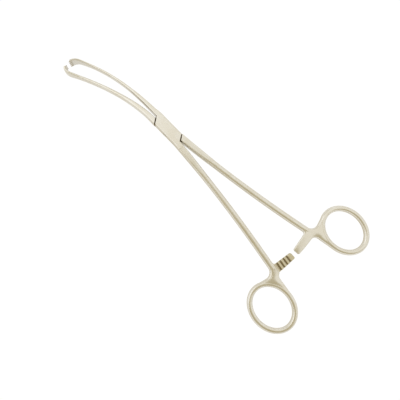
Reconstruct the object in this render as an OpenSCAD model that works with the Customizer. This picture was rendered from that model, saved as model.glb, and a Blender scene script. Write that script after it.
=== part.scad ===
// Vulsellum forceps: two ring handled halves that cross in a box lock, with jaws
// curved to one side and a row of four teeth that meets a row of three.
// Seen from above, the jaws point along +Y and the pivot stands along Z through the
// origin. The underside of the box is at z = 0. Left is -X and right is +X.
// The box half has the left handle and the right jaw. The tongue half has the right
// handle and the left jaw, and its thin tongue runs through the slot of the box.

/* [Pose and travel] */
// Angle from closed jaws to the drawn pose
rest_open = 2.2; // [0.5:0.1:4]
// Angle from closed jaws to the stop in the lock
open_stop = 40; // [25:1:55]

/* [Box lock] */
// Width of the box across its plates
box_w = 8.8; // [8:0.1:10.5]
// Thickness of the box, top face to underside
box_t = 6.6; // [6:0.1:8]
// Distance from the pivot to the outer end of each slanted notch
notch_outer = 8.7; // [8.2:0.1:9.4]
// Distance from the pivot to the inner end of each slanted notch
notch_inner = 12.05; // [11.6:0.05:12.8]
// How far each notch runs past the middle of the box
notch_reach = 0.7; // [0.3:0.1:1.2]
// Distance from the pivot to the end of the flat sided block
block_reach = 16; // [15:0.5:20]
// Bevel along the long edges of the box
box_bevel = 0.45; // [0.2:0.05:0.8]
// Thickness of the side walls that close the slot
wall_t = 0.9; // [0.7:0.05:1.2]
// Thickness of the tongue
tongue_t = 2.5; // [2:0.1:3]
// Clearance above and below the tongue
slot_clear = 0.06; // [0.05:0.01:0.1]
// Clearance between the closed tongue and the side walls
side_clear = 0.15; // [0.1:0.01:0.25]
// Gap between the closed shoulders and the box
shoulder_gap = 0.6; // [0.4:0.05:0.8]
// Distance from the pivot to the step of the tongue
step_reach = 0.9; // [0.5:0.1:1.5]
// Distance from the pivot to the corner where the slot slants
slant_from = 7.1; // [6.6:0.1:7.8]
// How far the slot runs past the notches
slot_past = 0.4; // [0.2:0.1:0.6]
// Distance from the tongue's edge to the outer edge of its jaw and its shank
tongue_inset = 0.6; // [0.3:0.1:0.9]
// Distance from the pivot to where jaws and shanks begin, inside the lock
root_from = 8; // [6:0.5:8.2]
// Squareness of the jaws and shanks in the lock: 2 is an ellipse, and more is squarer
root_square = 12; // [8:1:16]
// Radius of the pivot pin
pin_r = 2.2; // [1.8:0.1:2.6]
// Running clearance round the pin in the tongue
pin_clear = 0.05; // [0.03:0.01:0.1]

/* [Jaws] */
// Distance from the pivot to where the jaws begin to curve
jaw_from = 15; // [13:0.5:17]
// Distance from the pivot to where the right jaw turns into its hook
right_jaw_to = 79; // [74:0.5:84]
// How far short of that the left jaw begins to turn back
left_jaw_short = 2.2; // [1.5:0.1:3]
// Middle of the right jaw beside the pivot axis, at its root
right_root = 2.25; // [2.1:0.05:2.4]
// Middle of the left jaw beside the pivot axis, at its root
left_root = 2.25; // [2.1:0.05:2.4]
// Lean of the closed jaws away from the axis, for each millimetre of length
jaw_lean = 0.019; // [0.015:0.001:0.025]
// Sideways sweep of the right jaw
right_sweep = 12; // [11:0.1:13]
// Sideways sweep of the left jaw
left_sweep = 17.8; // [17:0.1:18.6]
// How late the right jaw bends, as a power of its length
right_bend = 2.6; // [2.5:0.05:2.7]
// How late the left jaw bends, as a power of its length
left_bend = 1.72; // [1.68:0.02:1.8]
// Width of the right jaw at its root, seen from above
right_root_w = 3.7; // [3.5:0.1:3.9]
// Width of the right jaw at its hook, seen from above
right_tip_w = 1.5; // [1.3:0.05:1.7]
// Width of the left jaw at its root, seen from above
left_root_w = 4; // [3.7:0.1:4.1]
// Width of the left jaw at its hook, seen from above
left_tip_w = 2; // [1.7:0.05:2.2]
// How fast a jaw narrows from its root, as a power of what is left
jaw_taper = 1.7; // [1.5:0.05:1.9]
// Thickness of a jaw at mid length
jaw_mid_t = 5.2; // [4.8:0.1:6]
// Length over which a jaw thins down to that, from the lock
jaw_thin_l = 40; // [35:1:50]
// Squareness of the jaws past the lock
jaw_square = 3.4; // [3:0.1:4]
// Share of a jaw's length over which it becomes that round
jaw_round_share = 0.5; // [0.4:0.05:0.7]
// Squareness of the jaws at their hooks
hook_square = 5; // [4:0.5:6]
// Length over which a jaw's end flares to the height of its teeth
flare_l = 16; // [10:0.5:20]
// Radius of the right jaw's hook
right_hook_r = 7; // [6:0.1:8]
// Direction of the right jaw's end, from straight ahead towards the left
right_hook_to = 77; // [72:1:80]
// Radius of the left jaw's turn back to straight
left_turn_r = 9; // [8:0.1:10]
// Radius of the left jaw's hook
left_hook_r = 2.6; // [2.3:0.1:2.9]
// Direction of the left jaw's end, from straight ahead towards the right
left_hook_to = 62; // [56:1:68]

/* [Teeth of the jaws] */
// Number of teeth in the right jaw's row
right_teeth = 4; // [4:1:4]
// Number of teeth in the left jaw's row
left_teeth = 3; // [3:1:3]
// Spacing of the teeth
tooth_pitch = 2.25; // [2.2:0.05:2.3]
// Length of a tooth of the right jaw
right_tooth_l = 2; // [1.8:0.1:2.2]
// Length of a tooth of the left jaw
left_tooth_l = 1.7; // [1.5:0.1:1.9]
// Direction of the right jaw's teeth, from straight ahead towards the left
right_teeth_to = 92; // [86:1:98]
// Direction of the left jaw's teeth, from straight ahead towards the right
left_teeth_to = 84; // [78:1:90]
// Gap between the roots of two teeth
tooth_gap = 0.55; // [0.45:0.05:0.7]
// Height and width of a tooth at its point
tooth_point = 0.35; // [0.2:0.05:0.45]
// Width of a tooth at its root, seen from above
tooth_root_w = 1.3; // [1.1:0.05:1.4]
// Depth of a tooth's seat in the end of its jaw
tooth_seat = 0.9; // [0.7:0.1:1.1]
// How much wider a jaw's end is than the roots of its teeth
end_margin = 0.1; // [0.05:0.05:0.3]

/* [Shanks] */
// Middle of the closed shanks beside the axis, carried back to the pivot
shank_root = 1.54; // [1.45:0.01:1.7]
// Slope of the closed shanks where they leave the lock
shank_slope = 0.0576; // [0.055:0.001:0.062]
// Outward bow of the shanks, for each square millimetre
shank_bow = 0.000516; // [0.0005:0.000005:0.00053]
// Distance from the pivot to where each shank ends inside its plate
shank_to = 125; // [124:0.5:126]
// Width of a shank, seen from above
shank_w = 4.5; // [4.2:0.1:5]
// Thickness of a shank past the lock
shank_t = 4.3; // [4:0.1:4.6]
// Width of a shank's end inside the plate
shank_end_w = 2; // [1.6:0.1:2.4]
// How much thinner the shank's end is, inside the plate
shank_sink = 0.9; // [0.7:0.1:1.2]
// Distance from the pivot to where the shanks have thinned down
thin_to = 60; // [45:1:75]
// Length over which the shanks are rounded, from the lock
shank_round_l = 36; // [28:1:45]
// Squareness of the shanks past the lock
shank_square = 2.7; // [2.4:0.1:3]

/* [Finger rings] */
// Middle of each ring beside the axis
ring_x = 33.8; // [33.2:0.1:34.4]
// Middle of each ring behind the pivot
ring_y = 136.3; // [135.8:0.1:137]
// Inside width of a ring
ring_hole_w = 23.6; // [23:0.1:24.4]
// Inside length of a ring
ring_hole_l = 29.5; // [28.5:0.1:30.5]
// Width of a ring's rim, seen from above
rim_w = 3.9; // [3.5:0.1:4.3]
// Thickness of a ring's rim
rim_t = 4.1; // [3.8:0.1:4.5]
// Squareness of a rim
rim_square = 2.3; // [2.1:0.1:2.5]

/* [Plate between shank, ring and ratchet] */
// Thickness of the plate
plate_t = 3.9; // [3.7:0.05:4]
// Rounding of the plate's edges
plate_edge = 1.8; // [1.5:0.05:1.9]
// Rounding of the plate's edges along the ratchet bar
bar_edge = 0.5; // [0.3:0.05:0.8]
// Radius of the hollow between shank and ring
outer_hollow_r = 4.9; // [4.5:0.1:5.3]
// How far that hollow lies ahead of the ratchet bars
outer_hollow_ahead = 6.4; // [6:0.1:6.8]
// Radius of the hollow between shank and ratchet bar
crook_r = 2; // [1.7:0.1:2.3]
// How far that hollow lies ahead of the ratchet bars
crook_ahead = 6.2; // [6:0.1:6.6]
// Radius of the hollow between ratchet bar and ring
inner_hollow_r = 3.5; // [3.2:0.1:3.8]
// How far that hollow runs up into the bar's side
inner_rise = 0.7; // [0.5:0.1:0.9]
// Distance from the shank's middle to the plate's inner edge beside the ring
inner_edge = 0.6; // [0.4:0.1:0.9]
// Distance from the pivot to where the plate begins, inside the shank
plate_from = 108; // [106:0.5:110]
// Distance from the plate's edge to the surface of the shank
shank_skin = 0.2; // [0.15:0.05:0.3]
// Distance from the plate's edge to the outer edge of the rim
rim_skin = 0.1; // [0.05:0.05:0.2]
// Distance from the plate's edge to the inner edge of the rim
rim_cover = 0.5; // [0.4:0.05:0.7]

/* [Ratchet] */
// Distance from the pivot to the middle of the ratchet bars
ratchet_y = 121.8; // [121.4:0.1:122.2]
// Width of a ratchet bar at its tip
ratchet_w = 4.9; // [4.6:0.1:5.2]
// Rounding of the corners of a bar's tip
tip_corner_r = 1; // [0.6:0.1:1.4]
// Gap between the tips of the bars in the drawn pose
bar_gap = 2.7; // [2.4:0.1:3]
// Radius of the milled step that thins each bar to half the plate
step_cut_r = 12; // [11.6:0.1:12.2]
// Middle of that milled step beside the axis
step_cut_x = 2.5; // [2.3:0.1:2.7]
// Gap between the two rows of crests
crest_gap = 0.2; // [0.1:0.02:0.3]
// Number of notches in each bar
notches = 4; // [3:1:4]
// Distance from a bar's tip to its first notch
first_notch = 3.6; // [3.3:0.1:3.8]
// Spacing of the notches
ratchet_pitch = 2.8; // [2.6:0.05:2.9]
// Depth of the notches
notch_depth = 1; // [0.8:0.05:1.2]
// Share of the spacing that a notch takes up
notch_share = 0.75; // [0.65:0.05:0.85]
// Skew of the notches across the bar
notch_skew = 6; // [3:1:8]
// Bevel along the edge of each row of crests, on the side of the jaws
crest_bevel = 0.7; // [0.5:0.05:0.9]

/* [Hidden] */
steel = [0.78, 0.76, 0.70];
pin_steel = [0.80, 0.78, 0.73];
mid_z = box_t / 2;
half_w = box_w / 2;
slot_t = tongue_t + 2 * slot_clear;
eps = 0.02;
beyond = 6;
cut_past = 1;
section_n = 20;
rim_n = 16;
rim_steps = 56;
jaw_steps = 22;
hook_steps = 7;
turn_steps = 3;
shank_steps = 18;

// The left jaw ends beside the right one.
left_jaw_to = right_jaw_to - left_jaw_short;

// The teeth, and the end of the jaw that carries four of them.
tooth_root_t = tooth_pitch - tooth_gap;
jaw_end_t = right_teeth * tooth_pitch - tooth_gap;
end_w = tooth_root_w + end_margin;

// Numbers of levels and points of the plate's outline.
plate_levels = 8;
hollow_steps = 8;
corner_steps = 3;
bar_steps = 6;
rim_run = 11;

// Angles round the rim where the plate's outline leaves it, ends under it and comes back.
rim_top_out = 110;
rim_top_end = 100;
rim_top_in = 106;
rim_side_out = 186;
rim_side_end = 190;
rim_side_in = 182;

// Angles where the outline enters the outer hollow and leaves the inner one.
outer_hollow_from = 283;
inner_hollow_to = 8;

// Share of the room under a rim or a shank that the plate's rounding takes.
tuck = 0.88;

// Rounding of the two ends of the outline under the rim, and the lean of a notch's steep wall.
end_edge = 0.4;
notch_wall = 0.1;

// The step of the tongue swings round to the end of the wall at the stop.
step_r = norm([half_w, step_reach]);
wall_end = step_r * sin(open_stop - atan(step_reach / half_w));

// Blend from 0 to 1 with no kink at either end.
function ease(t) = let (u = min(max(t, 0), 1)) u * u * (3 - 2 * u);
function mix(a, b, t) = a + (b - a) * t;
function turned(points) = [for (p = points) -p];
function power_of(v, e) = (v < 0 ? -1 : 1) * pow(abs(v), e);

// One ring of a swept bar. A station is [x, y, heading, width, thickness, squareness],
// with the heading in degrees from +Y towards -X.
function ring_points(s, n) = [for (k = [0 : n - 1])
    let (a = 360 * (k + 0.5) / n,
         across = s[3] / 2 * power_of(cos(a), 2 / s[5]),
         up = s[4] / 2 * power_of(sin(a), 2 / s[5]))
    [s[0] + across * cos(s[2]), s[1] + across * sin(s[2]), mid_z + up]];

// A bar swept through its stations, capped at both ends.
module bar(stations, n) {
    last = len(stations) - 1;
    points = [for (s = stations) each ring_points(s, n)];
    sides = [for (i = [0 : last - 1], k = [0 : n - 1])
        let (a = i * n + k, b = i * n + (k + 1) % n)
        each [[a, b, a + n], [b, b + n, a + n]]];
    near_cap = [for (k = [n - 1 : -1 : 0]) k];
    far_cap = [for (k = [0 : n - 1]) last * n + k];
    polyhedron(points, concat([near_cap], sides, [far_cap]), convexity = 6);
}

// A closed loop swept through its stations.
module loop(stations, n) {
    count = len(stations);
    points = [for (s = stations) each ring_points(s, n)];
    sides = [for (i = [0 : count - 1], k = [0 : n - 1])
        let (a = i * n + k, b = i * n + (k + 1) % n,
             c = ((i + 1) % count) * n + k, d = ((i + 1) % count) * n + (k + 1) % n)
        each [[a, b, c], [b, d, c]]];
    polyhedron(points, sides, convexity = 6);
}

// Stations along an arc that starts at p with heading from and ends with heading to.
function arc_at(p, from, r, a) = [p[0] - r * (cos(from) - cos(a)), p[1] + r * (sin(a) - sin(from))];

function jaw_t(left_over) = mix(jaw_end_t, jaw_mid_t, ease(left_over / flare_l));
function squareness_at(t) = mix(root_square, jaw_square, ease(t / jaw_round_share));

// Heading of a jaw where its hook begins.
function end_heading(lean, sweep, bend, to) = atan(lean + sweep * bend / (to - jaw_from));
function arc_length(r, angle) = r * angle * PI / 180;

// The swept part of a jaw up to its hook.
function jaw_stations(root, lean, sweep, bend, to, hook_l, root_w, tip_w) =
    let (run = to - jaw_from)
    [for (i = [0 : jaw_steps])
        let (y = mix(root_from, to, i / jaw_steps),
             t = max(y - jaw_from, 0) / run,
             thin = i / jaw_steps,
             x = root - lean * (y - jaw_from) - sweep * pow(t, bend),
             heading = atan(lean + sweep * bend / run * pow(max(t, eps / run), bend - 1)),
             body = mix(box_t, jaw_mid_t, ease((y - root_from) / jaw_thin_l)))
        [x, y, heading, mix(tip_w, root_w, pow(1 - thin, jaw_taper)),
            max(body, jaw_t(to - y + hook_l)), squareness_at(thin)]];

// A hook: an arc that ends at the root of the teeth.
function hook_stations(s, r, to) = [for (i = [1 : hook_steps])
    let (a = mix(s[2], to, i / hook_steps),
         p = arc_at([s[0], s[1]], s[2], r, a))
    [p[0], p[1], a, mix(s[3], end_w, i / hook_steps), jaw_t(arc_length(abs(r), abs(to - a))),
        mix(s[5], hook_square, i / hook_steps)]];

// A row of pointed teeth on the end of a jaw.
module tooth_row(s, count, length, heading) {
    translate([s[0], s[1], mid_z]) rotate([0, 0, heading])
        for (i = [0 : count - 1])
            translate([0, 0, (i - (count - 1) / 2) * tooth_pitch])
                tooth(length);
}

// A tooth along +Y. Its seat behind the root is half as wide, so that it stays in the jaw.
module tooth(length) {
    a = tooth_root_w / 2;
    b = tooth_root_t / 2;
    c = tooth_point / 2;
    function corners(y, w, h) = [[-w, y, -h], [w, y, -h], [w, y, h], [-w, y, h]];
    polyhedron(concat(corners(-tooth_seat, a / 2, b), corners(0, a, b), corners(length, c, c)),
        concat([[3, 2, 1, 0], [8, 9, 10, 11]],
            [for (i = [0, 4], k = [0 : 3])
                let (m = (k + 1) % 4)
                [i + k, i + m, i + 4 + m, i + 4 + k]]));
}

left_hook_l = arc_length(left_hook_r, left_hook_to);
right_stations = jaw_stations(right_root, jaw_lean, right_sweep, right_bend, right_jaw_to,
    arc_length(right_hook_r, right_hook_to - end_heading(jaw_lean, right_sweep, right_bend, right_jaw_to)),
    right_root_w, right_tip_w);
left_stations = jaw_stations(-left_root, -jaw_lean, left_sweep, left_bend, left_jaw_to,
    arc_length(left_turn_r, end_heading(-jaw_lean, left_sweep, left_bend, left_jaw_to)) + left_hook_l,
    left_root_w, left_tip_w);

module right_jaw() {
    hook = hook_stations(right_stations[jaw_steps], right_hook_r, right_hook_to);
    bar(concat(right_stations, hook), section_n);
    tooth_row(hook[hook_steps - 1], right_teeth, right_tooth_l, right_teeth_to);
}

module left_jaw() {
    last = left_stations[jaw_steps];
    back = [for (i = [1 : turn_steps])
        let (a = mix(last[2], 0, i / turn_steps), p = arc_at([last[0], last[1]], last[2], -left_turn_r, a))
        [p[0], p[1], a, last[3], jaw_t(arc_length(left_turn_r, a) + left_hook_l), last[5]]];
    hook = hook_stations(back[turn_steps - 1], -left_hook_r, -left_hook_to);
    bar(concat(left_stations, back, hook), section_n);
    tooth_row(hook[hook_steps - 1], left_teeth, left_tooth_l, -left_teeth_to);
}

// Middle of a closed shank beside the axis, at a distance s behind the pivot.
function shank_x(s) = shank_root + shank_slope * s + shank_bow * s * s;
function shank_heading(s) = atan(shank_slope + 2 * shank_bow * s);

// Half the shank's width, measured straight across the axis.
function shank_half(s) = shank_w / 2 / cos(shank_heading(s));

// The right handle's shank, drawn from its end in the plate to the lock.
module shank() {
    merge = ratchet_y - outer_hollow_ahead;
    bar([for (i = [0 : shank_steps])
        let (s = mix(shank_to, root_from, i / shank_steps),
             sunk = ease((s - merge) / (shank_to - merge)),
             t = mix(box_t, shank_t, ease((s - root_from) / (thin_to - root_from))))
        [shank_x(s), -s, shank_heading(s), mix(shank_w, shank_end_w, sunk), t - shank_sink * sunk,
            mix(root_square, shank_square, ease((s - root_from) / shank_round_l))]], section_n);
}

// Half widths of the ellipse along the middle of a ring's rim.
rim_a = (ring_hole_w + rim_w) / 2;
rim_b = (ring_hole_l + rim_w) / 2;
function rim_point(a) = [ring_x + rim_a * cos(a), -ring_y + rim_b * sin(a)];

// A point at an angle round the rim, at a distance outwards from its middle.
function rim_at(a, out) = [ring_x + (rim_a + out) * cos(a), -ring_y + (rim_b + out) * sin(a)];
function rim_heading(a) = atan2(-rim_a * sin(a), rim_b * cos(a)) * -1;

module ring() {
    loop([for (i = [0 : rim_steps - 1])
        let (a = 360 * i / rim_steps, p = rim_point(a))
        [p[0], p[1], rim_heading(a), rim_w, rim_t, rim_square]], rim_n);
}

// Points of an arc, each with the rounding that the plate's edge has there.
function arc_points(centre, r, from, to, n, edge_from, edge_to) = [for (i = [0 : n])
    let (a = mix(from, to, i / n))
    [centre[0] + r * cos(a), centre[1] + r * sin(a), mix(edge_from, edge_to, i / n)]];
function with_edge(p, edge) = [p[0], p[1], edge];
function along_bar(r, a) = [r * sin(a), -r * cos(a)];

// Angles about the pivot of a bar's tip and its root, and the radii of its two sides.
tip_angle = asin((bar_gap / 2) / ratchet_y) - rest_open / 2;
jaw_side_r = ratchet_y - ratchet_w / 2;
ring_side_r = ratchet_y + ratchet_w / 2;
corner_angle = tip_corner_r / ratchet_y * 180 / PI;

// The three hollows of the plate, and the ends of the bar's straight side towards the jaws.
outer_hollow_s = ratchet_y - outer_hollow_ahead;
outer_hollow = [shank_x(outer_hollow_s) + shank_half(outer_hollow_s) + outer_hollow_r, -outer_hollow_s];
crook_s = ratchet_y - crook_ahead;
crook = [shank_x(crook_s) - shank_half(crook_s) - crook_r, -crook_s];
inner_hollow_s = ring_side_r + inner_hollow_r - inner_rise;
inner_hollow = [shank_x(inner_hollow_s) - inner_edge - inner_hollow_r, -inner_hollow_s];
bar_corner = along_bar(jaw_side_r, tip_angle);
to_crook = crook - bar_corner;
bar_slope = atan2(to_crook[1], to_crook[0]) - asin(crook_r / norm(to_crook));
bar_side_l = sqrt(to_crook * to_crook - crook_r * crook_r);

// Where the plate runs under the rim and the shank, its edges lie within theirs.
rim_out = rim_w / 2 - rim_skin;
rim_in = rim_w / 2 - rim_cover;
under_rim = min(plate_edge, rim_out * tuck);
under_shank = min(plate_edge, (shank_w / 2 - shank_skin) * tuck);

// Outline of the plate, as [x, y, rounding], counterclockwise seen from above.
plate_outline = concat(
    [with_edge(rim_at(rim_top_end, 0), end_edge)],
    [with_edge(rim_at(rim_top_out, rim_out), under_rim)],
    arc_points(outer_hollow, outer_hollow_r, outer_hollow_from, 180, hollow_steps, plate_edge, plate_edge),
    [[shank_x(plate_from) + shank_half(plate_from) - shank_skin, -plate_from, under_shank]],
    [[shank_x(plate_from) - shank_half(plate_from) + shank_skin, -plate_from, under_shank]],
    arc_points(crook, crook_r, 360, 270 + bar_slope, hollow_steps, plate_edge, bar_edge),
    [for (i = [0 : corner_steps])
        let (along = tip_corner_r * [cos(bar_slope), sin(bar_slope)],
             c = bar_corner + along + along_bar(tip_corner_r, tip_angle),
             a = mix(90 + bar_slope, 180 + tip_angle, i / corner_steps))
        [c[0] + tip_corner_r * cos(a), c[1] + tip_corner_r * sin(a), bar_edge]],
    [for (i = [0 : corner_steps])
        let (c = along_bar(ring_side_r - tip_corner_r, tip_angle + corner_angle),
             a = mix(180 + tip_angle, 270 + tip_angle + corner_angle, i / corner_steps))
        [c[0] + tip_corner_r * cos(a), c[1] + tip_corner_r * sin(a), bar_edge]],
    [for (i = [1 : bar_steps - 1])
        let (a = mix(tip_angle, asin(inner_hollow[0] / ring_side_r), i / bar_steps))
        with_edge(along_bar(ring_side_r, a), bar_edge)],
    arc_points(inner_hollow, inner_hollow_r, 90, inner_hollow_to, hollow_steps, bar_edge, plate_edge),
    [with_edge(rim_at(rim_side_out, rim_out), under_rim)],
    [with_edge(rim_at(rim_side_end, 0), end_edge)],
    [for (i = [0 : rim_run])
        with_edge(rim_at(mix(rim_side_in, rim_top_in, i / rim_run), -rim_in), rim_in * tuck)]);

// Cuts an outline into triangles: the first corner that sticks out and holds no other point goes first.
function turn(a, b, c) = (b[0] - a[0]) * (c[1] - a[1]) - (b[1] - a[1]) * (c[0] - a[0]);
function inside(p, a, b, c) = turn(a, b, p) >= 0 && turn(b, c, p) >= 0 && turn(c, a, p) >= 0;
function is_ear(outline, left, i) =
    let (n = len(left), a = left[(i + n - 1) % n], b = left[i], c = left[(i + 1) % n],
         held = [for (k = left)
             if (k != a && k != b && k != c && inside(outline[k], outline[a], outline[b], outline[c])) k])
    turn(outline[a], outline[b], outline[c]) > 0 && len(held) == 0;
function first_ear(outline, left, i = 0) = is_ear(outline, left, i) ? i : first_ear(outline, left, i + 1);
function triangles_of(outline, left) =
    let (n = len(left))
    n == 3 ? [left] :
    let (i = first_ear(outline, left))
    concat([[left[(i + n - 1) % n], left[i], left[(i + 1) % n]]],
        triangles_of(outline, [for (k = [0 : n - 1]) if (k != i) left[k]]));

// The plate: the outline stacked in levels that draw in towards its two faces, like a pillow.
module plate() {
    count = len(plate_outline);
    inward = [for (k = [0 : count - 1])
        let (a = plate_outline[(k + count - 1) % count], b = plate_outline[(k + 1) % count],
             d = [a[1] - b[1], b[0] - a[0]])
        d / norm(d)];
    points = [for (j = [0 : plate_levels])
        let (phi = mix(-90, 90, j / plate_levels))
        for (k = [0 : count - 1])
            let (p = plate_outline[k],
                 drawn_in = p[2] * (1 - pow(cos(phi), 2 / rim_square)),
                 round_t = min(p[2], plate_t / 2 - eps),
                 z = power_of(sin(phi), 2 / rim_square) * round_t + sign(phi) * (plate_t / 2 - round_t))
            [p[0] + inward[k][0] * drawn_in, p[1] + inward[k][1] * drawn_in, mid_z + z]];
    sides = [for (j = [0 : plate_levels - 1], k = [0 : count - 1])
        let (a = j * count + k, b = j * count + (k + 1) % count)
        each [[a, a + count, b + count], [a, b + count, b]]];
    under = triangles_of([for (k = [0 : count - 1]) points[k]], [for (k = [0 : count - 1]) k]);
    top = [for (f = under) [for (k = [2 : -1 : 0]) plate_levels * count + f[k]]];
    polyhedron(points, concat(under, sides, top), convexity = 8);
}

// Everything that is milled off a bar's upper half, for crests that face up.
module ratchet_cut(skew) {
    crest_z = mid_z - crest_gap / 2;
    pitch_angle = ratchet_pitch / ratchet_y * 180 / PI;
    translate([step_cut_x, -ratchet_y, crest_z]) cylinder(r = step_cut_r, h = plate_t, $fn = 96);
    for (i = [0 : notches - 1])
        rotate([0, 0, tip_angle + first_notch / ratchet_y * 180 / PI + i * pitch_angle])
            translate([0, -ratchet_y, crest_z]) rotate([0, 0, skew]) rotate([90, 0, 0])
                translate([0, 0, -ratchet_w])
                    linear_extrude(2 * ratchet_w)
                        polygon([[0, -notch_depth], [ratchet_pitch * notch_share, eps], [-notch_wall, eps]]);
    translate([bar_corner[0], bar_corner[1], crest_z]) rotate([0, 0, bar_slope])
        translate([bar_side_l / 2 - cut_past, 0, 0]) rotate([45, 0, 0])
            cube([bar_side_l, crest_bevel * sqrt(2), crest_bevel * sqrt(2)], center = true);
}

// The right handle when closed. Its crests face up when up is 1, and down when it is 0.
module handle(up) {
    difference() {
        union() {
            shank();
            ring();
            plate();
        }
        translate([0, 0, mid_z]) mirror([0, 0, 1 - up]) translate([0, 0, -mid_z])
            ratchet_cut(notch_skew * (2 * up - 1));
    }
}

// Outline of the box and of the flat blocks that lead into its jaw and its shank.
jaw_outer = lookup(block_reach, [for (s = right_stations) [s[1], s[0] + s[3] / 2]]);
jaw_inner = lookup(block_reach, [for (s = right_stations) [s[1], s[0] - s[3] / 2]]);
box_side = [[-half_w, notch_outer], [notch_reach, notch_inner], [jaw_inner, block_reach],
            [jaw_outer, block_reach], [half_w, notch_inner]];

// The slot is open to the left above the wall and to the right below it.
slot_side = [[half_w - wall_t, wall_end], [half_w - wall_t, slant_from],
             [notch_reach + slot_past, notch_inner + slot_past], [-half_w - beyond, block_reach + cut_past],
             [-half_w - beyond, -wall_end]];

module box_block() {
    difference() {
        linear_extrude(box_t) polygon(concat(box_side, turned(box_side)));
        for (x = [-half_w, half_w], z = [0, box_t])
            translate([x, 0, z]) rotate([90, 45, 0])
                cube([box_bevel * sqrt(2), box_bevel * sqrt(2), 3 * block_reach], center = true);
    }
}

module pin_hole(r) translate([0, 0, -cut_past]) cylinder(r = r, h = box_t + 2 * cut_past, $fn = 64);

module box_half() color(steel) rotate([0, 0, -rest_open / 2])
    difference() {
        union() {
            box_block();
            right_jaw();
            mirror([1, 0, 0]) handle(1);
        }
        translate([0, 0, mid_z - slot_t / 2])
            linear_extrude(slot_t) polygon(concat(slot_side, turned(slot_side)));
        pin_hole(pin_r);
    }

// Outline of the tongue, which stays inside the walls when the jaws are closed.
tongue_x = half_w - wall_t - side_clear;
tongue_side = [[half_w, -step_reach], [tongue_x, -step_reach], [tongue_x, slant_from - side_clear],
               [notch_reach - side_clear, notch_inner], [-left_root, block_reach],
               [tongue_inset - half_w, block_reach], [-half_w, notch_outer]];

// Room for the box between the shoulders of the tongue half, which run along its notches.
notch_slope = (notch_inner - notch_outer) / (half_w + notch_reach);
shoulder_y = notch_outer + shoulder_gap / cos(atan(notch_slope));
room_side = [[-half_w - beyond, shoulder_y - beyond * notch_slope],
             [half_w + beyond, shoulder_y + (box_w + beyond) * notch_slope]];

module tongue_half() color(steel) rotate([0, 0, rest_open / 2])
    difference() {
        union() {
            difference() {
                union() {
                    left_jaw();
                    handle(0);
                }
                translate([0, 0, -cut_past])
                    linear_extrude(box_t + 2 * cut_past) polygon(concat(room_side, turned(room_side)));
            }
            translate([0, 0, mid_z - tongue_t / 2])
                linear_extrude(tongue_t) polygon(concat(tongue_side, turned(tongue_side)));
        }
        pin_hole(pin_r + pin_clear);
    }

module pivot_pin() color(pin_steel) cylinder(r = pin_r, h = box_t, $fn = 64);

box_half();
tongue_half();
pivot_pin();
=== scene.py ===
"""Vulsellum forceps of satin steel, lying open on a pale studio floor."""
import math

import bmesh
import bpy
import numpy as np
from mathutils import Matrix, Vector
from mathutils.bvhtree import BVHTree


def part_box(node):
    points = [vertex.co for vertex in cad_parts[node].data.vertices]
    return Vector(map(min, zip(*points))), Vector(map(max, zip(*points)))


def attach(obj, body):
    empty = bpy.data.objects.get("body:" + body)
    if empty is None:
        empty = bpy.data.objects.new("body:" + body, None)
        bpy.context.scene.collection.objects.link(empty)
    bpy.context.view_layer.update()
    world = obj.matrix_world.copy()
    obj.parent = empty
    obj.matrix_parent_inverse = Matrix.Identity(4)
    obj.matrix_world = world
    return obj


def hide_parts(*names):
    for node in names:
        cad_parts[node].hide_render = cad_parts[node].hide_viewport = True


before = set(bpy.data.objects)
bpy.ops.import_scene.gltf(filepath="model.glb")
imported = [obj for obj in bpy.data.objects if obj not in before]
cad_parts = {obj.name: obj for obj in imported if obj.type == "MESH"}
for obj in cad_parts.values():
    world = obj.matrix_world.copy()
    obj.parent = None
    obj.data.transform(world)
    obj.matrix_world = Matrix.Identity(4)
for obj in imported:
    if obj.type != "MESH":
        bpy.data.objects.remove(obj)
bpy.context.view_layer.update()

MM = 0.001

# The forceps' own measures, in the drawn pose. The pivot is the z axis, and the box's underside is z = 0.
PIN_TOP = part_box("pivot_pin")[1]
PIN_RADIUS = PIN_TOP[0]
BOX_TOP = PIN_TOP[2]
MID = BOX_TOP / 2
PLATE_TOP = 5.25 * MM

# The box's slanted end beside the left jaw, from its outer to its inner corner, and the gap there.
BOX_END_OUTER = Vector((-4.4, 8.7)) * MM
BOX_END_INNER = Vector((0.7, 12.05)) * MM
SHOULDER_GAP = 0.6 * MM

# The ratchet bars: their middle line round the pivot, the gap between their tips, and their notches.
BAR_MIDDLE = 121.8 * MM
BAR_GAP = 2.7 * MM
FIRST_NOTCH = 3.6 * MM
NOTCH_PITCH = 2.8 * MM
NOTCHES = 4
NOTCH_SKEW = math.tan(math.radians(6))

# The steel: where the jaws start, the scales of its grains and clouds per metre, and what they do.
# Here and below, a pair of numbers is a soft step, between which something starts or ends.
JAWS_START = (6 * MM, 20 * MM)
CROSS_GRAIN = (160.0, 3400.0, 500.0)
LONG_GRAIN = (3000.0, 120.0, 2400.0)
CLOUD_SCALE = 120.0
CLOUDED = (0.3, 0.7)
GRAINED = (0.45, 0.75)
GRAIN_SHADE = 0.2
LEVEL_FACE = (0.05, 0.4)
ROUGHNESS = 0.16
GRAIN_ROUGHNESS = 0.05
CLOUD_ROUGHNESS = 0.06
PAINTED_SHADE_ROUGHNESS = 0.35
BUMP_STRENGTH = 0.03
BUMP_DISTANCE = 0.01 * MM

# Painted shade in the lock: to the sides of a gap, near the faces of the box, and past the inner corner.
LOCK_SIDES = (0.40 * MM, 0.62 * MM)
LOCK_FACES = (MID - 0.3 * MM, MID + 0.05 * MM)
LOCK_CORNER = (0.1 * MM, 0.5 * MM)

# The milled rows: to the sides of the bars' middle line, to the front, in height, and along a bar.
ROW_SIDES = (3.4 * MM, 3.9 * MM)
ROW_FRONT = (-117 * MM, -116 * MM)
ROW_LEVEL = (1.3 * MM, 1.15 * MM)
ROW_ROOT = (13.5 * MM, 15 * MM)
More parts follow.
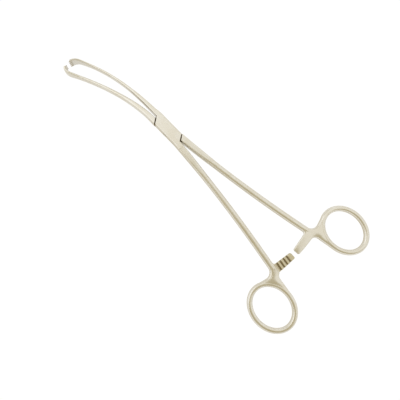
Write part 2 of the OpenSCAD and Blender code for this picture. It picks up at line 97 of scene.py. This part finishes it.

# Painted shade in a row: past its end notches, at the foot and crest of each (in pitches), and at the
# root.
NOTCH_ENDS = (NOTCHES / 2 + 0.2, NOTCHES / 2)
NOTCH_FOOT = (0.04, 0.34)
NOTCH_CREST = (0.90, 0.98)
NOTCH_PAINTED_SHADE = 0.75
ROOT_START = (11.6 * MM, 13.0 * MM)
ROOT_PAINTED_SHADE = 0.3 * NOTCH_PAINTED_SHADE

# Painted shade round the teeth: to the sides of their middle line, and along the jaws.
TEETH_MIDDLE = -16.4 * MM
TEETH_SIDES = (2.4 * MM, 3.2 * MM)
TEETH_START = (80.9 * MM, 81.9 * MM)
TEETH_PAINTED_SHADE = 0.3

# Painted shade on the jaws' inner sides, where they face each other: along their fork, and high up.
FORK_START = (14 * MM, 22 * MM)
FORK_END = (26 * MM, 48 * MM)
FORK_LEVEL = (2.0 * MM, 3.2 * MM)
FORK_FACING = (0.4, 0.8)
FORK_SHARE = 0.38

# The forgings' skin: its squares and their easing.
WELD = 1e-7
CELL = 0.27 * MM
EASE_ROUNDS = 9
EASE_PULL = 0.55
EASE_PUSH = -0.57

# The plates between shank and ring: where their flat tops are, and how high their middles swell.
PLATES_FRONT = -112 * MM
PLATES_ABOVE = 5 * MM
FLAT_WITHIN = 0.01 * MM
FLAT_FACING = 0.999
PLATE_CROWN = 0.25 * MM
CROWN_ROUNDS = 1200

# Where milling left sharp edges.
LOCK_SHARP = (22 * MM, 15 * MM)
TEETH_SHARP = (80.5 * MM, 82 * MM)
BARS_SHARP_FRONT = (-114.5 * MM, -116 * MM)
BARS_SHARP_SIDES = (17 * MM, 14.5 * MM)

# The pin: its corners round the axis, how much its hidden shaft clears the hole, and its spread heads.
PIN_TURNS = 96
SHAFT_CLEARANCE = 0.1 * MM
HEAD_SPREAD = 0.45 * MM
HEAD_DEPTH = 0.5 * MM
HEAD_RISE = 0.003 * MM

# The studio, in metres. The lamps hang level and shine straight down.
FLOOR_HALF = 4.0
FLOOR_ROUNDS = 6
RINGS_FRONT = -60 * MM
WALL_RADIUS = 2.6
WALL_FOOT = -0.05
WALL_TOP = 1.4
WALL_TURNS = 64
LAMP_HEIGHT = 1.25

# Light and paint, as the renderer's own numbers.
FLOOR_PAINT = (0.80, 0.73, 0.56, 1.0)
WHITE = (1.0, 1.0, 1.0, 1.0)
WARM_DOME = (0.60, 0.54, 0.38, 1.0)
COOL_KEY = (0.76, 0.83, 1.0)
COOL_JAWS = (0.78, 0.84, 1.0)
WHITE_GLOW = 1.06

# The camera stands where the photograph was taken from: above the handles, to the left.
CAMERA_AT = Vector((-60.12, -72.05, 308.8)) * MM
CAMERA_RIGHT = Vector((0.7042, -0.7086, 0.0439))
CAMERA_UP = Vector((0.6976, 0.7021, 0.1428))
LENS = 40.5
SENSOR = 36.0
NEAREST = 0.01
FARTHEST = 50.0


def colour(red, green, blue):
    """A colour written as the eye sees it, from 0 to 255, as the renderer's own numbers."""
    shares = [c / 255 for c in (red, green, blue)]
    return tuple(s / 12.92 if s < 0.04045 else ((s + 0.055) / 1.055) ** 2.4 for s in shares) + (1.0,)


STEEL = colour(227, 224, 215)
STEEL_WARM = colour(222, 217, 204)
STEEL_PALE = colour(230, 228, 221)
# Painted shade on the upright sides of the handles and of the box.
SIDE_PAINTED_SHADE = colour(196, 186, 158)
# Painted shade in the lock's gaps, in the corners of the notches and round the teeth.
RECESS_PAINTED_SHADE = colour(140, 122, 88)
# A darker tint for the milled rows of the ratchet bars.
ROW_TINT = colour(205, 196, 168)
# Painted shade high on the jaws' inner sides, between the jaws.
FORK_PAINTED_SHADE = colour(146, 124, 72)


# The finishes. A Wire is one value of a finish, and a Bench holds the nodes of one finish.


class Wire:
    """A value in a finish. An expression on wires adds its Math nodes."""

    def __init__(self, bench, socket):
        self.bench = bench
        self.socket = socket

    def maths(self, operation, first, second=0):
        return self.bench.node("ShaderNodeMath", {"operation": operation}, {0: first, 1: second}, 0)

    def __add__(self, other):
        return self.maths("ADD", self, other)

    def __radd__(self, other):
        return self.maths("ADD", other, self)

    def __sub__(self, other):
        return self.maths("SUBTRACT", self, other)

    def __rsub__(self, other):
        return self.maths("SUBTRACT", other, self)

    def __mul__(self, other):
        return self.maths("MULTIPLY", self, other)

    def __rmul__(self, other):
        return self.maths("MULTIPLY", other, self)

    def __truediv__(self, other):
        return self.maths("DIVIDE", self, other)

    def __pow__(self, other):
        return self.maths("POWER", self, other)

    def __abs__(self):
        return self.maths("ABSOLUTE", self)

    def sign(self):
        return self.maths("SIGN", self)

    def floor(self):
        return self.maths("FLOOR", self)

    def either(self, other):
        """The greater of two shares."""
        return self.maths("MAXIMUM", self, other)


class Bench:
    """The nodes of one finish, in a material or a world whose own nodes are cleared first."""

    def __init__(self, holder, surface_kind):
        holder.use_nodes = True
        self.tree = holder.node_tree
        self.tree.nodes.clear()
        self.end = self.tree.nodes.new(surface_kind)

    def node(self, kind, settings, sockets, output):
        """Adds a node, with its settings first and then the values or links of its sockets."""
        made = self.tree.nodes.new(kind)
        for name, value in settings.items():
            setattr(made, name, value)
        for name, value in sockets.items():
            self.feed(made.inputs[name], value)
        return Wire(self, made.outputs[output])

    def feed(self, socket, value):
        if isinstance(value, Wire):
            self.tree.links.new(value.socket, socket)
        else:
            socket.default_value = value

    def finish(self, surface):
        self.feed(self.end.inputs["Surface"], surface)

    def place(self):
        """Where a point lies on the piece, in metres."""
        return self.node("ShaderNodeTexCoord", {}, {}, "Object")

    def along(self, vector, axis):
        return self.node("ShaderNodeSeparateXYZ", {}, {0: vector}, axis)

    def stretched(self, place, scale):
        return self.node("ShaderNodeVectorMath", {"operation": "MULTIPLY"}, {0: place, 1: scale}, 0)

    def noise(self, place, scale):
        sockets = {"Vector": place, "Scale": scale, "Detail": 2.0, "Roughness": 0.5}
        return self.node("ShaderNodeTexNoise", {"noise_dimensions": "3D"}, sockets, 0)

    def step(self, value, pair):
        """The share by which a value has gone from the first number of a pair to the second."""
        settings = {"interpolation_type": "SMOOTHSTEP", "clamp": True}
        sockets = {"Value": value, "From Min": pair[0], "From Max": pair[1], "To Min": 0.0, "To Max": 1.0}
        return self.node("ShaderNodeMapRange", settings, sockets, 0)

    def tint(self, share, first, second):
        """The first colour where the share is 0, and the second where it is 1."""
        sockets = {"Factor": share, 6: first, 7: second}
        return self.node("ShaderNodeMix", {"data_type": "RGBA"}, sockets, 2)


def lock_painted_shade(bench, place):
    """Where shade is painted dark: in the two slanted gaps between the box and the shoulders."""
    run = (BOX_END_INNER - BOX_END_OUTER).normalized()
    middle = BOX_END_OUTER + Vector((-run.y, run.x)) * SHOULDER_GAP / 2
    x, y, z = (bench.along(place, axis) for axis in "XYZ")
    # The gap at the handles is the one at the jaws turned half round the pivot.
    off_gap = abs(y.sign() * (y * run.x - x * run.y) - (middle.y * run.x - middle.x * run.y))
    in_gap = (1 - bench.step(off_gap, LOCK_SIDES)) * (1 - bench.step(abs(z - MID), LOCK_FACES))
    past_corner = y.sign() * (x * run.x + y * run.y) - BOX_END_INNER.dot(run)
    return in_gap * (1 - bench.step(past_corner, LOCK_CORNER))


def bar_rows_and_painted_shade(bench, place):
    """Where the milled rows are tinted darker, and where shade is painted dark in the corners of their
    notches and at their root.
    """
    x, y, z = (bench.along(place, axis) for axis in "XYZ")
    reach = (x * x + y * y) ** 0.5
    from_tip = abs(x / y) * BAR_MIDDLE - BAR_GAP / 2
    across = 1 - bench.step(abs(reach - BAR_MIDDLE), ROW_SIDES)
    behind = 1 - bench.step(y, ROW_FRONT)
    milled = bench.step(abs(z - MID), ROW_LEVEL)
    row = across * behind * milled * (1 - bench.step(from_tip, ROW_ROOT))

    skewed = from_tip + (BAR_MIDDLE - reach) * x.sign() * -NOTCH_SKEW
    pitches = (skewed - FIRST_NOTCH) / NOTCH_PITCH
    notched = bench.step(abs(pitches - (NOTCHES - 1) / 2), NOTCH_ENDS)
    part = pitches - pitches.floor()
    corner = (1 - bench.step(part, NOTCH_FOOT)).either(bench.step(part, NOTCH_CREST))
    root = bench.step(from_tip, ROOT_START) * ROOT_PAINTED_SHADE
    return row, row * (notched * corner * NOTCH_PAINTED_SHADE).either(root)


def tooth_painted_shade(bench, place):
    """Where a thin shade is painted: round the roots of the teeth."""
    x, y = (bench.along(place, axis) for axis in "XY")
    near = 1 - bench.step(abs(x - TEETH_MIDDLE), TEETH_SIDES)
    return near * bench.step(y, TEETH_START) * TEETH_PAINTED_SHADE


def fork_painted_shade(bench, place, inward):
    """Where shade is painted high on a jaw's inner side, facing the other jaw. Inward is the way along x
    that this side faces.
    """
    y, z = (bench.along(place, axis) for axis in "YZ")
    facing = bench.along(bench.node("ShaderNodeTexCoord", {}, {}, "Normal"), "X") * inward
    in_fork = bench.step(y, FORK_START) * (1 - bench.step(y, FORK_END))
    return bench.step(facing, FORK_FACING) * in_fork * bench.step(z, FORK_LEVEL) * FORK_SHARE


def steel_finish(name, inward):
    """Satin steel: a fine grain, cross ground jaws and faint cloudiness, with shade painted on its
    upright sides, in its corners and high between the jaws, and darker milled rows.
    """
    material = bpy.data.materials.new(name)
    bench = Bench(material, "ShaderNodeOutputMaterial")
    place = bench.place()

    # The jaws were ground across their length, and the handles polished along theirs.
    on_jaws = bench.step(bench.along(place, "Y"), JAWS_START)
    across = bench.noise(bench.stretched(place, CROSS_GRAIN), 1.0)
    lengthwise = bench.noise(bench.stretched(place, LONG_GRAIN), 1.0)
    grain = across * on_jaws + lengthwise * (1 - on_jaws)
    cloud = bench.noise(place, CLOUD_SCALE)
    shade = bench.tint(bench.step(cloud, CLOUDED), STEEL_WARM, STEEL)
    shade = bench.tint(bench.step(grain, GRAINED) * GRAIN_SHADE, shade, STEEL_PALE)

    # Shade is painted on the upright sides of the handles and of the box, which are tinted darker and
    # warmer than the tops.
    upward = bench.along(bench.node("ShaderNodeNewGeometry", {}, {}, "Normal"), "Z")
    upright = 1 - bench.step(abs(upward), LEVEL_FACE)
    shade = bench.tint(upright * (1 - on_jaws), shade, SIDE_PAINTED_SHADE)

    row, row_painted_shade = bar_rows_and_painted_shade(bench, place)
    # Painted shade in the lock's gaps, the notches' corners and round the teeth, and high on the jaws'
    # inner sides; the steel is also rougher there.
    corner_painted_shade = lock_painted_shade(bench, place).either(row_painted_shade).either(tooth_painted_shade(bench, place))
    jaw_painted_shade = fork_painted_shade(bench, place, inward)
    # The milled rows are tinted darker; the painted shade goes over them.
    shade = bench.tint(row, shade, ROW_TINT)
    shade = bench.tint(corner_painted_shade, shade, RECESS_PAINTED_SHADE)
    shade = bench.tint(jaw_painted_shade, shade, FORK_PAINTED_SHADE)

    shade_paint = corner_painted_shade.either(jaw_painted_shade)
    roughness = ROUGHNESS + grain * GRAIN_ROUGHNESS + cloud * CLOUD_ROUGHNESS + shade_paint * PAINTED_SHADE_ROUGHNESS
    bump = {"Strength": BUMP_STRENGTH, "Distance": BUMP_DISTANCE, "Height": grain}
    normal = bench.node("ShaderNodeBump", {}, bump, 0)
    sockets = {"Base Color": shade, "Metallic": 1.0, "Roughness": roughness, "Normal": normal}
    bench.finish(bench.node("ShaderNodeBsdfPrincipled", {}, sockets, 0))
    return material


def white_finish(name, lit_share, mirrored_share):
    """White to the camera and in the steel, each with its share of the lit paint kept."""
    material = bpy.data.materials.new(name)
    bench = Bench(material, "ShaderNodeOutputMaterial")
    kind_of_ray = "ShaderNodeLightPath"
    mirrored = bench.node(kind_of_ray, {}, {}, "Is Glossy Ray")
    mirrored = mirrored.either(bench.node(kind_of_ray, {}, {}, "Is Transmission Ray"))
    glowing = bench.node(kind_of_ray, {}, {}, "Is Camera Ray") * (1 - lit_share)
    glowing = glowing.either(mirrored * (1 - mirrored_share))
    paint = bench.node("ShaderNodeBsdfDiffuse", {}, {"Color": FLOOR_PAINT}, 0)
    glow = bench.node("ShaderNodeEmission", {}, {"Color": WHITE, "Strength": WHITE_GLOW}, 0)
    bench.finish(bench.node("ShaderNodeMixShader", {}, {0: glowing, 1: paint, 2: glow}, 0))
    return material


# Meshes, made from points, circles and bands.


def linked(name, data):
    """A new object of that name in the scene, with a mesh, a lamp or a camera as its data."""
    thing = bpy.data.objects.new(name, data)
    bpy.context.scene.collection.objects.link(thing)
    return thing


def mesh_of(name, points, faces, finish):
    mesh = bpy.data.meshes.new(name)
    mesh.from_pydata(points, [], faces)
    mesh.materials.append(finish)
    return mesh


def points_of(mesh):
    points = np.empty(len(mesh.vertices) * 3)
    mesh.vertices.foreach_get("co", points)
    return points.reshape(-1, 3)


def ends_of(mesh):
    """The two points of each edge, as two lists."""
    ends = np.empty(len(mesh.edges) * 2, int)
    mesh.edges.foreach_get("vertices", ends)
    return ends[0::2], ends[1::2]


def neighbours(values, first, second):
    """The sum of the values at each point's neighbours, over edges from first to second."""
    count = len(values)
    return np.bincount(first, values[second], count) + np.bincount(second, values[first], count)


def circles(profile, turns):
    """The points of level circles round the z axis, one for each radius and height of a profile."""
    angles = [2 * math.pi * i / turns for i in range(turns)]
    return [(r * math.cos(a), r * math.sin(a), z) for r, z in profile for a in angles]


def bands(levels, turns):
    """The faces between one circle and the next."""
    faces = []
    for low in range(0, (levels - 1) * turns, turns):
        high = low + turns
        for i in range(turns):
            after = (i + 1) % turns
            faces.append((low + i, low + after, high + after, high + i))
    return faces


# The forgings. Each is made from its own node and keeps that form, with softened edges.


def welded_copy(node_name, name):
    """A new piece with the node's own surface, its corners joined."""
    source = bmesh.new()
    source.from_mesh(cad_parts[node_name].data)
    bmesh.ops.remove_doubles(source, verts=source.verts, dist=WELD)
    mesh = bpy.data.meshes.new(name)
    source.to_mesh(mesh)
    source.free()
    return linked(name, mesh)


def remesh(piece):
    """Gives the piece an even skin of small squares."""
    skin = piece.modifiers.new("skin", "REMESH")
    skin.mode = "VOXEL"
    skin.voxel_size = CELL
    evaluated = piece.evaluated_get(bpy.context.evaluated_depsgraph_get())
    even = bpy.data.meshes.new_from_object(evaluated)
    even.materials.clear()
    piece.modifiers.clear()
    old = piece.data
    piece.data = even
    even.name = piece.name
    bpy.data.meshes.remove(old)


def eased(points, first, second):
    """Eases each point towards its neighbours and back, so that facets go and nothing shrinks."""
    count = neighbours(np.ones(len(points)), first, second)
    for pull in (EASE_PULL, EASE_PUSH) * EASE_ROUNDS:
        total = np.column_stack([neighbours(points[:, axis], first, second) for axis in range(3)])
        points = points + pull * (total / count[:, None] - points)
    return points


def step_at(values, pair):
    """The share by which values have gone from the first number of a pair to the second."""
    share = np.clip((values - pair[0]) / (pair[1] - pair[0]), 0, 1)
    return share * share * (3 - 2 * share)


def sharp_share(points):
    """1 where milling left sharp edges: in the lock, on the teeth and on the ratchet bars."""
    x, y = points[:, 0], points[:, 1]
    lock = step_at(np.abs(y), LOCK_SHARP)
    teeth = step_at(y, TEETH_SHARP)
    bars = step_at(y, BARS_SHARP_FRONT) * step_at(np.abs(x), BARS_SHARP_SIDES)
    return np.maximum(np.maximum(lock, teeth), bars)


def plate_rise(points, first, second, surface):
    """How far the plates' flat tops swell between their edges, as forging leaves them."""
    flat = np.zeros(len(points), bool)
    for i in np.flatnonzero((points[:, 1] < PLATES_FRONT) & (points[:, 2] > PLATES_ABOVE)):
        spot, facing = surface.find_nearest(Vector(points[i]))[:2]
        flat[i] = abs(spot.z - PLATE_TOP) < FLAT_WITHIN and facing.z > FLAT_FACING
    near = flat[first] | flat[second]
    first, second = first[near], second[near]
    count = np.maximum(neighbours(np.ones(len(points)), first, second), 1)
    rise = np.zeros(len(points))
    for _ in range(CROWN_ROUNDS):
        rise = np.where(flat, neighbours(rise, first, second) / count + 1, 0)
    return rise / rise.max() * PLATE_CROWN


def stand_for(piece, node_name, body):
    """Shows the piece in place of its CAD node, on the same body."""
    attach(piece, body)
    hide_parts(node_name)


def forged_piece(node_name, name, body, finish):
    """A forging with eased edges and crowned plates, no larger anywhere than its node's own box."""
    piece = welded_copy(node_name, name)
    node_points = points_of(piece.data)
    surface = BVHTree.FromPolygons(node_points.tolist(), [p.vertices[:] for p in piece.data.polygons])
    remesh(piece)
    mesh = piece.data
    first, second = ends_of(mesh)
    points = points_of(mesh)
    soft = eased(points, first, second)
    sharp = sharp_share(points)
    for i in np.flatnonzero(sharp):
        milled = np.array(surface.find_nearest(Vector(points[i]))[0])
        soft[i] += sharp[i] * (milled - soft[i])
    soft[:, 2] += plate_rise(points, first, second, surface)
    soft = np.clip(soft, node_points.min(axis=0), node_points.max(axis=0))
    mesh.vertices.foreach_set("co", soft.ravel())
    mesh.update()
    mesh.shade_smooth()
    mesh.materials.append(finish)
    stand_for(piece, node_name, body)


def peened_pin(node_name, name, body, finish):
    """The pin, its ends spread over the rims of its hole and ground almost flush with the box."""
    shaft = PIN_RADIUS - SHAFT_CLEARANCE
    upper = [(shaft, MID), (shaft, BOX_TOP - HEAD_DEPTH), (PIN_RADIUS + HEAD_SPREAD, BOX_TOP + HEAD_RISE)]
    lower = [(r, BOX_TOP - z) for r, z in reversed(upper)]
    profile = lower + upper[1:]
    points = circles(profile, PIN_TURNS)
    ends = [tuple(reversed(range(PIN_TURNS))), tuple(range(len(points) - PIN_TURNS, len(points)))]
    faces = bands(len(profile), PIN_TURNS) + ends
    piece = linked(name, mesh_of(name, points, faces, finish))
    stand_for(piece, node_name, body)


# The studio: a white floor that touches the jaws and the rings, and a low white wall round it.


def resting_line():
    """Height of the floor at the pivot and its slope, from where the jaws and the rings touch it."""
    points = np.concatenate([points_of(node.data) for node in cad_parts.values()])
    front = points[points[:, 1] > 0]
    back = points[points[:, 1] < RINGS_FRONT]
    slope = 0.0
    # Each round finds the lowest points over a floor with the last slope, until they stay the same.
    for _ in range(FLOOR_ROUNDS):
        toe = front[(front[:, 2] - slope * front[:, 1]).argmin()]
        heel = back[(back[:, 2] - slope * back[:, 1]).argmin()]
        slope = (toe[2] - heel[2]) / (toe[1] - heel[1])
    return toe[2] - slope * toe[1], slope


def floor_sheet(name, finish):
    height, slope = resting_line()
    corners = [(-FLOOR_HALF, -FLOOR_HALF), (FLOOR_HALF, -FLOOR_HALF),
               (FLOOR_HALF, FLOOR_HALF), (-FLOOR_HALF, FLOOR_HALF)]
    points = [(x, y, height + slope * y) for x, y in corners]
    linked(name, mesh_of(name, points, [(0, 1, 2, 3)], finish))


def ring_wall(name, finish):
    """An upright wall, wide enough to stay out of the way of every view."""
    points = circles([(WALL_RADIUS, WALL_FOOT), (WALL_RADIUS, WALL_TOP)], WALL_TURNS)
    linked(name, mesh_of(name, points, bands(2, WALL_TURNS), finish))


def soft_box(name, x, y, width, length, power, shade):
    """A level lamp that shines straight down."""
    lamp = bpy.data.lights.new(name, "AREA")
    lamp.shape = "RECTANGLE"
    lamp.size = width
    lamp.size_y = length
    lamp.energy = power
    lamp.color = shade
    linked(name, lamp).location = (x, y, LAMP_HEIGHT)


def warm_world(name):
    """A warm dome for the steel, which the camera sees as white."""
    world = bpy.data.worlds.new(name)
    sky = Bench(world, "ShaderNodeOutputWorld")
    seen = sky.node("ShaderNodeLightPath", {}, {}, "Is Camera Ray")
    dome = sky.node("ShaderNodeBackground", {}, {"Color": WARM_DOME, "Strength": 1.0}, 0)
    white = sky.node("ShaderNodeBackground", {}, {"Color": WHITE, "Strength": 1.0}, 0)
    sky.finish(sky.node("ShaderNodeMixShader", {}, {0: seen, 1: dome, 2: white}, 0))
    return world


def photograph_camera(name):
    data = bpy.data.cameras.new(name)
    data.lens = LENS
    data.sensor_width = SENSOR
    data.clip_start = NEAREST
    data.clip_end = FARTHEST
    camera = linked(name, data)
    right = CAMERA_RIGHT.normalized()
    back = right.cross(CAMERA_UP).normalized()
    turn = Matrix((right, back.cross(right), back)).transposed().to_4x4()
    camera.matrix_world = Matrix.Translation(CAMERA_AT) @ turn
    return camera


box_steel = steel_finish("box_steel", inward=-1)
tongue_steel = steel_finish("tongue_steel", inward=1)
pin_steel = steel_finish("pin_steel", inward=0)
forged_piece("box_half", "box_half_forging", "box_body", box_steel)
forged_piece("tongue_half", "tongue_half_forging", "tongue_body", tongue_steel)
peened_pin("pivot_pin", "pivot_pin_ground", "box_body", pin_steel)

floor_sheet("studio_floor", white_finish("floor_white", lit_share=0.06, mirrored_share=0.34))
ring_wall("studio_wall", white_finish("wall_white", lit_share=0.0, mirrored_share=0.0))
soft_box("key_light", x=0.94, y=-0.1, width=1.5, length=2.4, power=6.1, shade=COOL_KEY)
soft_box("jaw_light", x=-0.51, y=0.95, width=1.4, length=1.5, power=5.9, shade=COOL_JAWS)
bpy.context.scene.world = warm_world("studio")
bpy.context.scene.camera = photograph_camera("camera")
bpy.context.scene.view_settings.view_transform = "Standard"
